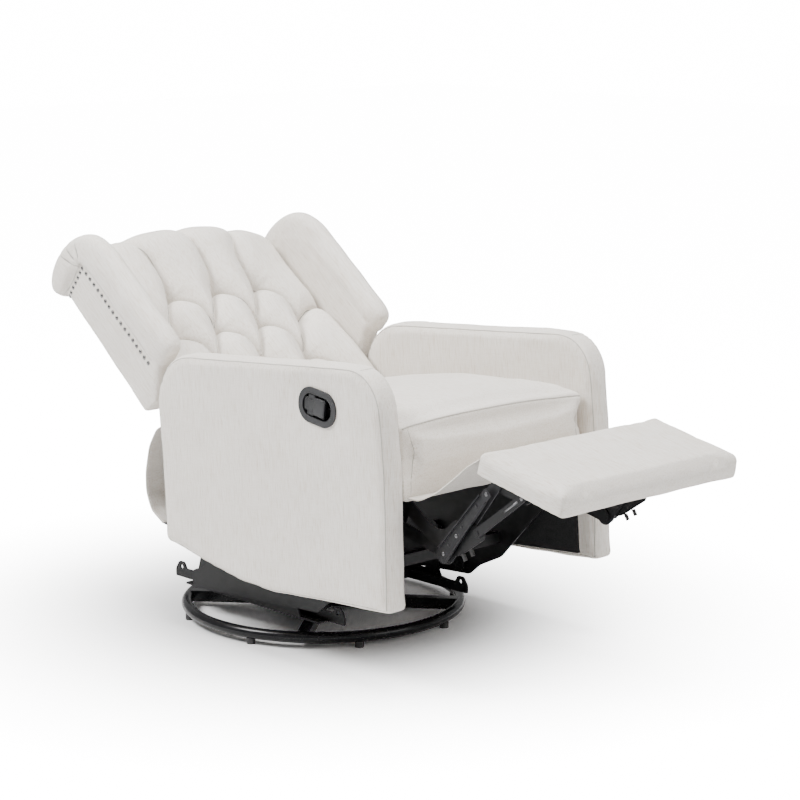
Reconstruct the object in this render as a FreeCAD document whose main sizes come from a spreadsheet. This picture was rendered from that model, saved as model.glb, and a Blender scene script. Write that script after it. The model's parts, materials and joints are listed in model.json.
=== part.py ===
import FreeCAD, Part
import math
import os
import Sketcher
from FreeCAD import Placement, Rotation, Vector

# Glider nursery recliner. Millimetres, +Z up, front towards -Y, origin on the swivel axis at floor level.
# Rest pose: back reclined, footrest out, body swung forward on its glide links and so tipped back a little.

doc = FreeCAD.newDocument("GliderChair")
sheet = doc.addObject("Spreadsheet::Sheet", "Sizes")

SIZES = [
    ("arm_inner", 285.0), ("arm_thick", 50.0), ("arm_skin", 8.0), ("arm_top", 620.0), ("arm_low", 126.0),
    ("seat_half", 272.0), ("seat_top", 512.0), ("seat_under", 402.0), ("seat_front", 562.0),
    ("ring_radius", 308.6), ("ring_tube", 12.5), ("ring_height", 24.0), ("base_tube", 25.0),
    ("glide_disc", 9.5), ("plate_radius", 70.0), ("bolt_radius", 8.0), ("fit", 0.05),
    ("rail_half", 183.0), ("sheet_metal", 4.0), ("link_metal", 3.0), ("pin_radius", 5.0),
    ("open_fit", 9.0), ("hanger_pin", 6.0), ("shaft_radius", 6.5),
    ("body_tip", 4.43), ("back_lean", 47.15), ("back_half", 273.0), ("cover_half", 211.0), ("board_half", 228.0), ("wing_inner", 274.0), ("wing_outer", 330.0),
    ("roll_inner", 280.0), ("roll_outer", 342.0), ("board", 20.0), ("pad_half", 262.0), ("pad_long", 232.0),
    ("pad_soft", 38.0), ("pad_board", 12.0), ("pad_pitch", 16.8), ("nail_radius", 5.0), ("cloth", 2.5),
    ("bezel_deep", 9.0), ("housing_deep", 34.0), ("paddle_deep", 6.0), ("frame_rail", 48.0), ("strap", 50.0),
]
SIZE = dict(SIZES)
# Each bore is its pin plus one running clearance.
FITS = [("bolt_fit", "bolt_radius"), ("pin_fit", "pin_radius"), ("hanger_fit", "hanger_pin"), ("shaft_fit", "shaft_radius")]
for row, (alias, number) in enumerate(SIZES, start=1):
    sheet.set("A%d" % row, alias)
    sheet.set("B%d" % row, repr(number))
    sheet.setAlias("B%d" % row, alias)
for row, (alias, base) in enumerate(FITS, start=len(SIZES) + 1):
    sheet.set("A%d" % row, alias)
    sheet.set("B%d" % row, "=%s + fit" % base)
    sheet.setAlias("B%d" % row, alias)
    SIZE[alias] = SIZE[base] + SIZE["fit"]
doc.recompute()

SIDES = (("left", 1.0), ("right", -1.0))
NODES = []

# The chair body is laid out level, then tipped about this height on the swivel axis.
TIP_HEIGHT = 223.3
BACK_PIVOT = (60.0, 400.0)
# Footrest linkage pivots as (forward, up) on the level body with the footrest out.
CRANK_PIVOT = (518.9, 345.1)
IDLER_PIVOT = (486.5, 287.0)
CRANK_RISER = (672.3, 293.9)
IDLER_RISER = (637.9, 241.4)
RISER_REST = (786.0, 393.5)
CRANK_ROD = (733.9, 294.4)
ROD_REST = (859.7, 374.7)
REST_EDGE = (768.0, 464.0)
# Glide links hang from the swivel frame (Y, Z) and carry the level body at (forward, up).
HANG_TOP = (135.0, 178.0)
HANG_LOW_FRONT = (203.38, 88.55)
HANG_LOW_REAR = (-176.62, 88.55)

TIP_TURN = Rotation(Vector(1, 0, 0), -SIZE["body_tip"])
TIPPED = Placement(Vector(0, 0, 0), TIP_TURN, Vector(0, 0, TIP_HEIGHT))
LEVEL = Placement()
LEAN = Rotation(Vector(1, 0, 0), -SIZE["back_lean"])
RECLINED = TIPPED.multiply(Placement(Vector(0, -BACK_PIVOT[0], BACK_PIVOT[1]), LEAN))
PITCH = Rotation(Vector(1, 0, 0), SIZE["pad_pitch"])
PITCHED = TIPPED.multiply(Placement(Vector(0, -REST_EDGE[0], REST_EDGE[1]), PITCH))


def bind(obj, field, expression):
    obj.setExpression(field, expression)


def size(alias):
    return "Sizes." + alias


def node(obj, label):
    obj.Label = label
    NODES.append(obj)
    return obj


def seated(frame, x=0.0, y=0.0, z=0.0, turn=None):
    return frame.multiply(Placement(Vector(x, y, z), turn or Rotation()))


def box(name, frame, x, y, z, dx, dy, dz):
    """A block; each of dx, dy and dz is a number or an expression of sheet sizes."""
    made = doc.addObject("Part::Box", name)
    for field, value in (("Length", dx), ("Width", dy), ("Height", dz)):
        if isinstance(value, str):
            bind(made, field, value)
        else:
            setattr(made, field, value)
    made.Placement = seated(frame, x, y, z)
    return made


def rod_x(name, frame, radius, x0, x1, y, z):
    """A cylinder along X from x0 to x1; radius is a sheet size."""
    made = doc.addObject("Part::Cylinder", name)
    bind(made, "Radius", size(radius))
    made.Height = abs(x1 - x0)
    made.Placement = seated(frame, min(x0, x1), y, z, Rotation(Vector(0, 1, 0), 90))
    return made


def post_z(name, frame, radius, height, z, x=0.0, y=0.0):
    made = doc.addObject("Part::Cylinder", name)
    if isinstance(radius, str):
        bind(made, "Radius", radius)
    else:
        made.Radius = radius
    made.Height = height
    made.Placement = seated(frame, x, y, z)
    return made


def fuse(name, shapes):
    made = doc.addObject("Part::MultiFuse", name)
    made.Shapes = shapes
    return made


def cut(name, base, tool):
    made = doc.addObject("Part::Cut", name)
    made.Base = base
    made.Tool = tool
    return made


def rounded(sketch, corners):
    """Closed outline of lines and tangent arcs through (y, z, radius) corners."""
    count = len(corners)
    starts = []
    ends = []
    arcs = []
    for i in range(count):
        here = Vector(corners[i][0], corners[i][1], 0)
        before = Vector(corners[i - 1][0], corners[i - 1][1], 0)
        after = Vector(corners[(i + 1) % count][0], corners[(i + 1) % count][1], 0)
        radius = corners[i][2] if len(corners[i]) > 2 else 0.0
        if radius <= 0.0:
            starts.append(here)
            ends.append(here)
            arcs.append(None)
            continue
        one = (before - here).normalize()
        two = (after - here).normalize()
        half = one.getAngle(two) / 2.0
        reach = radius / math.tan(half)
        first = here + one * reach
        last = here + two * reach
        middle = here + (one + two).normalize() * (radius / math.sin(half))
        mid_arc = middle + (here - middle).normalize() * radius
        starts.append(first)
        ends.append(last)
        arcs.append(Part.Arc(first, mid_arc, last))
    for i in range(count):
        if arcs[i] is not None:
            sketch.addGeometry(arcs[i], False)
        following = starts[(i + 1) % count]
        if (following - ends[i]).Length > 1e-4:
            sketch.addGeometry(Part.LineSegment(ends[i], following), False)


def profile(name, frame, x, thick, corners, holes=()):
    """Side outline in (Y, Z) padded along +X from x. Holes are (y, z, sheet size of the radius)."""
    body = doc.addObject("PartDesign::Body", name)
    sketch = body.newObject("Sketcher::SketchObject", name + "Outline")
    plane = [f for f in body.Origin.OriginFeatures if f.Role == "YZ_Plane"][0]
    sketch.AttachmentSupport = (plane, [""])
    sketch.MapMode = "FlatFace"
    rounded(sketch, corners)
    for y, z, alias in holes:
        index = sketch.addGeometry(Part.Circle(Vector(y, z, 0), Vector(0, 0, 1), SIZE[alias]), False)
        number = sketch.addConstraint(Sketcher.Constraint("Radius", index, SIZE[alias]))
        sketch.setExpression("Constraints[%d]" % number, size(alias))
    pad = body.newObject("PartDesign::Pad", name + "Pad")
    pad.Profile = sketch
    if isinstance(thick, str):
        bind(pad, "Length", thick)
    else:
        pad.Length = thick
    sketch.Visibility = False
    body.Placement = seated(frame, x)
    return body


def level(points):
    """(forward, up[, radius]) points of the level body as (Y, Z[, radius])."""
    return [(-p[0],) + tuple(p[1:]) for p in points]


def slab_x(side, near, thick):
    """Lowest X of a slab that starts |X| = near on a side and is thick outwards."""
    return near if side > 0 else -near - thick


def bar(a, b, half, tip):
    """Corners of a flat link from a to b, half wide at a and tip wide at b, as (Y, Z, radius)."""
    along = Vector(b[0] - a[0], b[1] - a[1], 0).normalize()
    across = Vector(-along.y, along.x, 0)
    low, high = Vector(a[0], a[1], 0) - along * half, Vector(b[0], b[1], 0) + along * tip
    corners = ((low + across * half, half), (low - across * half, half), (high - across * tip, tip), (high + across * tip, tip))
    return [(p.x, p.y, reach * 0.94) for p, reach in corners]


# ---------------------------------------------------------------- base on the floor
def ring(name):
    made = doc.addObject("Part::Torus", name)
    bind(made, "Radius1", size("ring_radius"))
    bind(made, "Radius2", size("ring_tube"))
    made.Placement = Placement(Vector(0, 0, SIZE["ring_height"]), Rotation())
    return made


node(ring("RingTube"), "base_ring")
TUBE_LOW = SIZE["ring_height"] - SIZE["base_tube"] / 2.0
TUBE_TOP = SIZE["ring_height"] + SIZE["base_tube"] / 2.0


def base_tube(name, angle, start, reach):
    made = doc.addObject("Part::Box", name)
    made.Length = reach - start
    bind(made, "Width", size("base_tube"))
    bind(made, "Height", size("base_tube"))
    turn = Rotation(Vector(0, 0, 1), angle)
    corner = turn.multVec(Vector(start, -SIZE["base_tube"] / 2.0, 0))
    made.Placement = Placement(Vector(corner.x, corner.y, TUBE_LOW), turn)
    return made


REACH = SIZE["ring_radius"] - 4.0
through = base_tube("LongTube", 40.0, -REACH, REACH)
hub_hole = post_z("HubHole", LEVEL, size("bolt_radius"), 60.0, 5.0)
node(cut("LongTubeEnds", through, fuse("LongTubeTools", [ring("RingA"), hub_hole])), "cross_tube_long")
across = base_tube("ShortTube", -50.0, -REACH, REACH)
middle = base_tube("TubeCrossing", 40.0, -30.0, 30.0)
open_middle = cut("ShortTubeHalves", across, middle)
node(cut("ShortTubeEnds", open_middle, ring("RingB")), "cross_tube_short")

feet = []
for k in range(8):
    angle = math.radians(17.5 + 45.0 * k)
    x = SIZE["ring_radius"] * math.cos(angle)
    y = SIZE["ring_radius"] * math.sin(angle)
    feet.append(post_z("Glide%d" % k, LEVEL, size("glide_disc"), SIZE["ring_height"] - SIZE["ring_tube"] + 2.0, 0.0, x, y))
node(cut("GlidePads", fuse("GlideSet", feet), ring("RingC")), "floor_glides")

plate = post_z("LowerPlate", LEVEL, size("plate_radius"), 4.0, TUBE_TOP)
hole = post_z("LowerPlateHole", LEVEL, size("bolt_radius"), 10.0, TUBE_TOP - 3.0)
node(cut("LowerPlateCut", plate, hole), "swivel_lower_plate")
RACE = TUBE_TOP + 4.0


def race(name, low, high):
    outer = post_z(name + "Outer", LEVEL, size("plate_radius") + " - 8", high - low, low)
    inner = post_z(name + "Inner", LEVEL, size("plate_radius") + " - 22", high - low + 4.0, low - 2.0)
    return cut(name, outer, inner)


node(race("LowerRace", RACE, RACE + 5.95), "bearing_lower")
bolt_parts = [post_z("BoltShank", LEVEL, size("bolt_radius"), TUBE_TOP + 26.0 - 6.0, 6.0)]
bolt_parts.append(post_z("BoltHead", LEVEL, size("bolt_radius") + " * 2", TUBE_LOW - 6.0, 6.0))
bolt_parts.append(post_z("BoltNut", LEVEL, size("bolt_radius") + " * 1.8", 7.0, TUBE_TOP + 21.1))
node(fuse("KingBolt", bolt_parts), "king_bolt")

# ---------------------------------------------------------------- swivel frame above the bearing
node(race("UpperRace", RACE + 6.0, RACE + 12.0), "bearing_upper")
DECK = RACE + 12.0
deck = box("UpperPlate", LEVEL, -130.0, -95.0, DECK, 260.0, 190.0, 5.0)
deck_hole = post_z("UpperPlateHole", LEVEL, size("bolt_fit"), 12.0, DECK - 3.0)
node(cut("UpperPlateCut", deck, deck_hole), "swivel_upper_plate")
BRACE = DECK + 5.0
braces = []
for tag, y in (("Front", -90.0), ("Rear", 60.0)):
    braces.append(box("Brace" + tag, LEVEL, -SIZE["rail_half"], y, BRACE, size("rail_half") + " * 2", 30.0, 20.0))
node(fuse("Braces", braces), "rail_braces")

RAIL = [(-275, BRACE + 16, 14), (-275, BRACE - 2, 4), (300, BRACE - 2, 4), (300, BRACE + 16, 14)]
RAIL = RAIL + [(288, BRACE + 34, 8), (270, BRACE + 34, 8), (262, BRACE + 20, 5), (-237, BRACE + 20, 5)]
RAIL = RAIL + [(-245, BRACE + 34, 8), (-263, BRACE + 34, 8)]
for side_name, side in SIDES:
    holes = ((-254, BRACE + 22, "pin_radius"), (279, BRACE + 22, "pin_radius"))
    web = profile("RailWeb" + side_name, LEVEL, slab_x(side, SIZE["rail_half"], SIZE["sheet_metal"]), size("sheet_metal"), RAIL, holes)
    shelf_x = slab_x(side, SIZE["rail_half"] + SIZE["sheet_metal"] - 1.0, 31.0)
    shelf = box("RailShelf" + side_name, LEVEL, shelf_x, -225.0, BRACE - 2.0, 31.0, 450.0, 4.0)
    node(fuse("Rail" + side_name, [web, shelf]), "glider_rail_" + side_name)

POST_X = 213.0
HALF_POST = 20.0
low = BRACE + 2.0
top = HANG_TOP[1] + 16.0
for side_name, side in SIDES:
    corners = [(-HANG_TOP[0] - HALF_POST - 12, low), (HANG_TOP[0] + HALF_POST + 12, low)]
    corners += [(HANG_TOP[0] + HALF_POST, low + 22, 10), (HANG_TOP[0] + 15, top, 14), (HANG_TOP[0] - 15, top, 14)]
    corners += [(HANG_TOP[0] - HALF_POST, low + 20, 12), (-HANG_TOP[0] + HALF_POST, low + 20, 12)]
    corners += [(-HANG_TOP[0] + 15, top, 14), (-HANG_TOP[0] - 15, top, 14), (-HANG_TOP[0] - HALF_POST, low + 22, 10)]
    post = profile("Post" + side_name, LEVEL, slab_x(side, POST_X, SIZE["sheet_metal"]), size("sheet_metal"), corners)
    pins = []
    for tag, y in (("F", -HANG_TOP[0]), ("R", HANG_TOP[0])):
        start = side * (POST_X + SIZE["sheet_metal"] - 1.0)
        pins.append(rod_x("HangPin" + tag + side_name, LEVEL, "hanger_pin", start, side * 224.0, y, HANG_TOP[1]))
    node(fuse("Posts" + side_name, [post] + pins), "glide_post_" + side_name)

# ---------------------------------------------------------------- glide links


def tipped_point(forward, up):
    place = TIPPED.multVec(Vector(0, -forward, up))
    return (place.y, place.z)


LINK_X = 218.6
for tag, y, low_point in (("front", -HANG_TOP[0], HANG_LOW_FRONT), ("rear", HANG_TOP[0], HANG_LOW_REAR)):
    foot = tipped_point(*low_point)
    fit = "hanger_fit" if tag == "front" else "open_fit"
    holes = ((y, HANG_TOP[1], "hanger_fit"), (foot[0], foot[1], fit))
    outline = bar((y, HANG_TOP[1]), foot, 15.0, 15.0)
    pair = []
    for side_name, side in SIDES:
        x = slab_x(side, LINK_X, SIZE["sheet_metal"])
        pair.append(profile("Hanger" + tag + side_name, LEVEL, x, size("sheet_metal"), outline, holes))
    node(fuse("Hangers" + tag, pair), "glide_links_" + tag)

# ---------------------------------------------------------------- chair body frame
PLATE_X = 226.0
PLATE = [(-196, 74, 16), (228, 68, 18), (262, 92, 30), (330, 118, 40), (436, 215, 40), (505, 268, 20)]
PLATE = PLATE + [(533, 322, 14), (533, 351.5), (524.5, 351.5), (524.5, 398), (-19, 398), (-19, 300, 20)]
PLATE = PLATE + [(-90, 262, 20), (-90, 176, 30), (-150, 126, 30), (-196, 112, 14)]
for side_name, side in SIDES:
    holes = [(-CRANK_PIVOT[0], CRANK_PIVOT[1], "shaft_fit")]
    outline = level(PLATE)
    made = profile("SidePlate" + side_name, TIPPED, slab_x(side, PLATE_X, SIZE["sheet_metal"]), size("sheet_metal"), outline, holes)
    pins = []
    for tag, spot in (("F", HANG_LOW_FRONT), ("R", HANG_LOW_REAR)):
        pins.append(rod_x("LowPin" + tag + side_name, TIPPED, "hanger_pin", side * 217.8, side * 227.0, -spot[0], spot[1]))
    pins.append(rod_x("IdlerPin" + side_name, TIPPED, "pin_radius", side * 227.0, side * 234.6, -IDLER_PIVOT[0], IDLER_PIVOT[1]))
    node(fuse("SideFrame" + side_name, [made] + pins), "side_plate_" + side_name)

SPAN = SIZE["arm_inner"] - PLATE_X - SIZE["sheet_metal"]
tubes = []
lugs = []
for tag, forward, up in (("Front", 330.0, 150.0), ("Rear", -48.0, 215.0)):
    across = PLATE_X * 2.0
    tubes.append(box("Tube" + tag, TIPPED, -PLATE_X, -forward, up, across, size("base_tube"), size("base_tube")))
    for side_name, side in SIDES:
        x = slab_x(side, PLATE_X + SIZE["sheet_metal"], SPAN)
        lugs.append(box("ArmLug" + tag + side_name, TIPPED, x, -forward, up, SPAN, size("base_tube"), size("base_tube")))
node(fuse("Tubes", tubes), "carriage_tubes")
node(fuse("ArmLugs", lugs), "arm_brackets")

DECK_LOW = SIZE["seat_under"] - 2.0 - SIZE["frame_rail"]
for label, forward in (("seat_rail_front", 545.0), ("seat_rail_rear", -20.0)):
    made = box("Seat" + label[-5:].strip("_"), TIPPED, -SIZE["arm_inner"], -forward, DECK_LOW, size("arm_inner") + " * 2", size("board"), size("frame_rail"))
    node(made, label)
rails = []
for side_name, side in SIDES:
    x = slab_x(side, SIZE["seat_half"] - SIZE["board"], SIZE["board"])
    rails.append(box("SeatSide" + side_name, TIPPED, x, -525.0, DECK_LOW, size("board"), 545.0, size("frame_rail")))
node(fuse("SeatSides", rails), "seat_side_rails")
straps = []
for k in range(5):
    x = (k - 2) * 98.0 - SIZE["strap"] / 2.0
    straps.append(box("SeatStrap%d" % k, TIPPED, x, -545.0, DECK_LOW + SIZE["frame_rail"], size("strap"), 585.0, 2.0))
node(fuse("SeatStraps", straps), "seat_webbing")

SEAT = [(-30, SIZE["seat_under"]), (546.5, SIZE["seat_under"]), (546.5, 353), (SIZE["seat_front"], 353, 6)]
SEAT = SEAT + [(SIZE["seat_front"], 500, 26), (470, SIZE["seat_top"] + 6, 60), (237, SIZE["seat_top"] + 6, 200)]
SEAT = SEAT + [(75, SIZE["seat_top"] - 8, 200), (-30, 490, 6)]
made = profile("SeatCushion", TIPPED, -SIZE["seat_half"], size("seat_half") + " * 2", level(SEAT))
node(made, "seat_cushion")

ARM = [(565, SIZE["arm_low"], 6), (205, SIZE["arm_low"], 60), (110, 137, 60), (-20, 167, 60), (-147, 204, 12)]
ARM = ARM + [(-147, 540, 60), (-95, 590, 60), (-20, SIZE["arm_top"], 60), (500, SIZE["arm_top"], 60), (572, 560, 40), (577, 400, 200)]


def inset(points, gap):
    """Outline moved inwards by gap: each corner along the bisector of its two sides."""
    moved = []
    count = len(points)
    for i in range(count):
        here = Vector(points[i][0], points[i][1], 0)
        one = (Vector(points[i - 1][0], points[i - 1][1], 0) - here).normalize()
        two = (Vector(points[(i + 1) % count][0], points[(i + 1) % count][1], 0) - here).normalize()
        inward = Vector(two.y, -two.x, 0) if (one.x * two.y - one.y * two.x) < 0 else Vector(-two.y, two.x, 0)
        half = one.getAngle(two) / 2.0
        bisector = one + two
        if bisector.Length < 1e-6:
            bisector = inward
        bisector.normalize()
        spot = here + bisector * (gap / math.sin(half))
        radius = points[i][2] if len(points[i]) > 2 else 0.0
        moved.append((spot.x, spot.y, max(radius - gap, 3.0)))
    return moved


ARM_CORE = inset(ARM, SIZE["arm_skin"])
ARM_OPEN = inset(ARM, SIZE["arm_skin"] + SIZE["frame_rail"])
LINING = 3.0
HANDLE = (387.0, 534.0)
CABLE_EXIT = 310.0
HANDLE_SLOPE = -12.0
CORE = SIZE["arm_thick"] - SIZE["arm_skin"]


def oval(half_long, half_high, x, thick, name):
    """Sloping oval block on the outer face of the right arm; x is its lowest X."""
    turn = Rotation(Vector(1, 0, 0), -HANDLE_SLOPE)
    frame = TIPPED.multiply(Placement(Vector(0, -HANDLE[0], HANDLE[1]), turn))
    corners = [(-half_long, -half_high), (half_long, -half_high), (half_long, half_high), (-half_long, half_high)]
    corners = [(y, z, half_high * 0.96) for y, z in corners]
    return profile(name, frame, x, thick, corners)


for side_name, side in SIDES:
    outer = profile("ArmOuter" + side_name, TIPPED, slab_x(side, SIZE["arm_inner"], SIZE["arm_thick"]), size("arm_thick"), level(ARM))
    core_x = slab_x(side, SIZE["arm_inner"], CORE)
    core = profile("ArmHollow" + side_name, TIPPED, core_x, size("arm_thick") + " - Sizes.arm_skin", level(ARM_CORE))
    cover = cut("ArmShell" + side_name, outer, core)
    wood_x = slab_x(side, SIZE["arm_inner"] + LINING, CORE - LINING)
    wood = profile("ArmWood" + side_name, TIPPED, wood_x, size("arm_thick") + " - Sizes.arm_skin - %s" % LINING, level(ARM_CORE))
    gap = profile("ArmGap" + side_name, TIPPED, slab_x(side, SIZE["arm_inner"], CORE), CORE, level(ARM_OPEN))
    wood = cut("ArmRing" + side_name, wood, gap)
    if side_name == "right":
        pocket_x = -SIZE["arm_inner"] - SIZE["arm_thick"] - 2.0
        cover = cut("ArmShellPocket", cover, oval(47.0, 28.0, pocket_x, SIZE["housing_deep"] + 2.0, "PocketA"))
        wood = cut("ArmWoodPocket", wood, oval(47.0, 28.0, pocket_x, SIZE["housing_deep"] + 2.0, "PocketB"))
    node(cover, "arm_cover_" + side_name)
    node(wood, "arm_frame_" + side_name)
    lining = profile("ArmLining" + side_name, TIPPED, slab_x(side, SIZE["arm_inner"], LINING), LINING, level(ARM_CORE))
    if side_name == "right":
        lining = cut("ArmLiningBore", lining, rod_x("LiningBore", TIPPED, "pin_radius", -292.0, -280.0, -HANDLE[0], CABLE_EXIT))
    node(lining, "arm_lining_" + side_name)

pivots = []
for side_name, side in SIDES:
    pivots.append(rod_x("BackPin" + side_name, TIPPED, "bolt_radius", side * 273.0, side * SIZE["arm_inner"], -BACK_PIVOT[0], BACK_PIVOT[1]))
node(fuse("BackPins", pivots), "back_pivot_pins")

SKIRT = [(-222, 436), (-247, 420, 20), (-281, 330, 30), (-288, 284, 14), (-260, 237, 8), (-219, 223)]
SKIRT = SKIRT + [(-219, 226), (-257, 240, 5), (-284.5, 284, 11), (-277.5, 330, 27), (-244, 418, 17), (-220, 433)]
node(profile("RearSkirt", TIPPED, -SIZE["back_half"], size("back_half") + " * 2", level(SKIRT)), "rear_skirt")
COVER = [(-219, 223), (-147, 203, 20), (-73, 212), (-73, 215), (-147, 206, 20), (-218, 226)]
node(profile("UnderCover", TIPPED, -SIZE["cover_half"], size("cover_half") + " * 2", level(COVER)), "under_cover")

# ---------------------------------------------------------------- release handle on the right arm
FACE = -SIZE["arm_inner"] - SIZE["arm_thick"]
rim = oval(56.0, 37.0, FACE - SIZE["bezel_deep"] + 5.0, SIZE["bezel_deep"] - 5.0, "BezelRim")
cup = oval(46.8, 27.8, FACE - SIZE["bezel_deep"] + 5.0, SIZE["housing_deep"] + SIZE["bezel_deep"] - 5.0, "BezelCup")
hollow = oval(43.0, 24.0, FACE - SIZE["bezel_deep"], SIZE["housing_deep"] + SIZE["bezel_deep"] - 4.0, "BezelHollow")
cable_hole = rod_x("CupBore", TIPPED, "pin_radius", -310.0, -295.0, -HANDLE[0], HANDLE[1])
bezel = cut("BezelCut", cut("BezelOpen", fuse("BezelSolid", [rim, cup]), hollow), cable_hole)
HANDLE_TURN = Rotation(Vector(1, 0, 0), -HANDLE_SLOPE)
HANDLE_FRAME = TIPPED.multiply(Placement(Vector(0, -HANDLE[0], HANDLE[1]), HANDLE_TURN))


def post_up(name, radius, length, x, y):
    """A pin along the handle's own upright, centred on the handle."""
    made = doc.addObject("Part::Cylinder", name)
    bind(made, "Radius", size(radius))
    made.Height = length
    made.Placement = seated(HANDLE_FRAME, x, y, -length / 2.0)
    return made


HINGE_X = FACE + 8.0
HINGE_Y = 26.0
hinge_pin = post_up("HandlePin", "pin_radius", 50.0, HINGE_X, HINGE_Y)
node(fuse("BezelWithPin", [bezel, hinge_pin]), "handle_bezel")
blade = box("PaddleBlade", HANDLE_FRAME, FACE - 3.0, -20.0, -11.0, size("paddle_deep"), 48.0, 22.0)
tip = box("PaddleTip", HANDLE_FRAME, FACE - 3.0, -22.0, -19.0, size("paddle_deep"), 14.0, 38.0)
knuckle = doc.addObject("Part::Cylinder", "PaddleKnuckle")
bind(knuckle, "Radius", size("pin_radius") + " + 4")
knuckle.Height = 30.0
knuckle.Placement = seated(HANDLE_FRAME, HINGE_X, HINGE_Y, -15.0)
paddle_hole = post_up("PaddleHole", "pin_fit", 60.0, HINGE_X, HINGE_Y)
node(cut("PaddleCut", fuse("PaddleSolid", [blade, tip, knuckle]), paddle_hole), "handle_paddle")

CABLE = [Vector(-303.0, -HANDLE[0], HANDLE[1]), Vector(-296.0, -HANDLE[0], HANDLE[1]), Vector(-296.0, -HANDLE[0], CABLE_EXIT)]
CABLE.append(Vector(-PLATE_X - SIZE["sheet_metal"], -HANDLE[0], CABLE_EXIT))
runs = []
for k in range(3):
    step = CABLE[k + 1] - CABLE[k]
    run = doc.addObject("Part::Cylinder", "CableRun%d" % k)
    run.Radius = 2.0
    run.Height = step.Length
    run.Placement = TIPPED.multiply(Placement(CABLE[k], Rotation(Vector(0, 0, 1), step)))
    runs.append(run)
for k in (1, 2):
    bend = doc.addObject("Part::Sphere", "CableBend%d" % k)
    bend.Radius = 2.0
    bend.Placement = TIPPED.multiply(Placement(CABLE[k], Rotation()))
    runs.append(bend)
node(fuse("Cable", runs), "release_cable")

# ---------------------------------------------------------------- back: laid out upright about its pivot, X across, -Y forwards, Z up the back
rails = []
for side_name, side in SIDES:
    x = slab_x(side, SIZE["wing_inner"] - SIZE["board"], SIZE["board"])
    rails.append(box("BackSide" + side_name, RECLINED, x, 95.0, 130.0, size("board"), 24.0, 468.0))
node(fuse("BackSides", rails), "back_side_rails")
INNER = SIZE["wing_inner"] - SIZE["board"]
rails = []
for tag, z in (("Bottom", 130.0), ("Top", 552.0)):
    rails.append(box("Back" + tag, RECLINED, -INNER, 95.0, z, "(" + size("wing_inner") + " - Sizes.board) * 2", 24.0, 46.0))
node(fuse("BackCross", rails), "back_cross_rails")
straps = []
for k in range(5):
    straps.append(box("BackStrap%d" % k, RECLINED, -SIZE["wing_inner"], 93.0, 190.0 + k * 82.0, size("wing_inner") + " * 2", 2.0, size("strap")))
node(fuse("BackStraps", straps), "back_webbing")
BACK = [(92.8, 131), (20, 131, 20), (20, 560, 60), (-10, 640, 30), (20, 694, 40), (80, 694, 12), (92.8, 600)]
node(profile("BackCushion", RECLINED, -SIZE["back_half"], size("back_half") + " * 2", BACK), "back_cushion")
node(box("BackPanel", RECLINED, -SIZE["back_half"], 119.0, 150.0, size("back_half") + " * 2", 6.0, 458.0), "back_panel")
ROLL_TOP = [(93.2, 609), (166, 609, 20), (166, 676, 34), (93.2, 697, 10)]
node(profile("HeadRoll", RECLINED, -SIZE["back_half"], size("back_half") + " * 2", ROLL_TOP), "head_roll")
WING = [(8, 290), (70, 238, 6), (125, 250, 8), (118, 612.5), (8, 612.5)]
ROLL = [(8, 272), (-28, 266, 24), (-76, 268, 30), (-82, 440, 100), (-84, 600, 30), (-38, 664, 60)]
ROLL = ROLL + [(56, 699, 30), (161, 676, 30), (164, 613), (8, 613)]
SPANS = size("wing_outer") + " - Sizes.wing_inner"
brackets = []
for side_name, side in SIDES:
    wide = SIZE["wing_outer"] - SIZE["wing_inner"]
    node(profile("Wing" + side_name, RECLINED, slab_x(side, SIZE["wing_inner"], wide), SPANS, WING), "wing_panel_" + side_name)
    wide = SIZE["roll_outer"] - SIZE["roll_inner"]
    made = profile("Roll" + side_name, RECLINED, slab_x(side, SIZE["roll_inner"], wide), size("roll_outer") + " - Sizes.roll_inner", ROLL)
    node(made, "wing_roll_" + side_name)
    outline = [(-20, -18, 16), (20, -18, 16), (26, 60, 60), (112, 150, 30), (119, 230, 6), (84, 230, 20), (52, 150, 60), (-20, 50, 60)]
    x = slab_x(side, SIZE["wing_inner"], SIZE["sheet_metal"])
    brackets.append(profile("BackBracket" + side_name, RECLINED, x, size("sheet_metal"), outline, ((0, 0, "bolt_fit"),)))
node(fuse("BackBrackets", brackets), "back_brackets")
nails = []
for side_name, side in SIDES:
    for k in range(18):
        nails.append((side, 16.0, 304.0 + k * 17.6))
    for k in range(6):
        nails.append((side, 31.0 + k * 15.6, 604.0))
heads = []
for k, (side, y, z) in enumerate(nails):
    heads.append(rod_x("Nail%d" % k, RECLINED, "nail_radius", side * SIZE["wing_outer"], side * (SIZE["wing_outer"] + 2.5), y, z))
node(fuse("NailHeads", heads), "nailheads")

# ---------------------------------------------------------------- footrest linkage
LAYER = {"idler": 231.0, "riser": 235.0, "crank": 239.0, "rod": 243.0, "rest": 231.0}


def flat(point):
    return (-point[0], point[1])


def layer_x(side, name):
    return slab_x(side, LAYER[name], SIZE["link_metal"])


def pin(name, side, radius, near, far, point):
    return rod_x(name, TIPPED, radius, side * near, side * far, -point[0], point[1])


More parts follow.
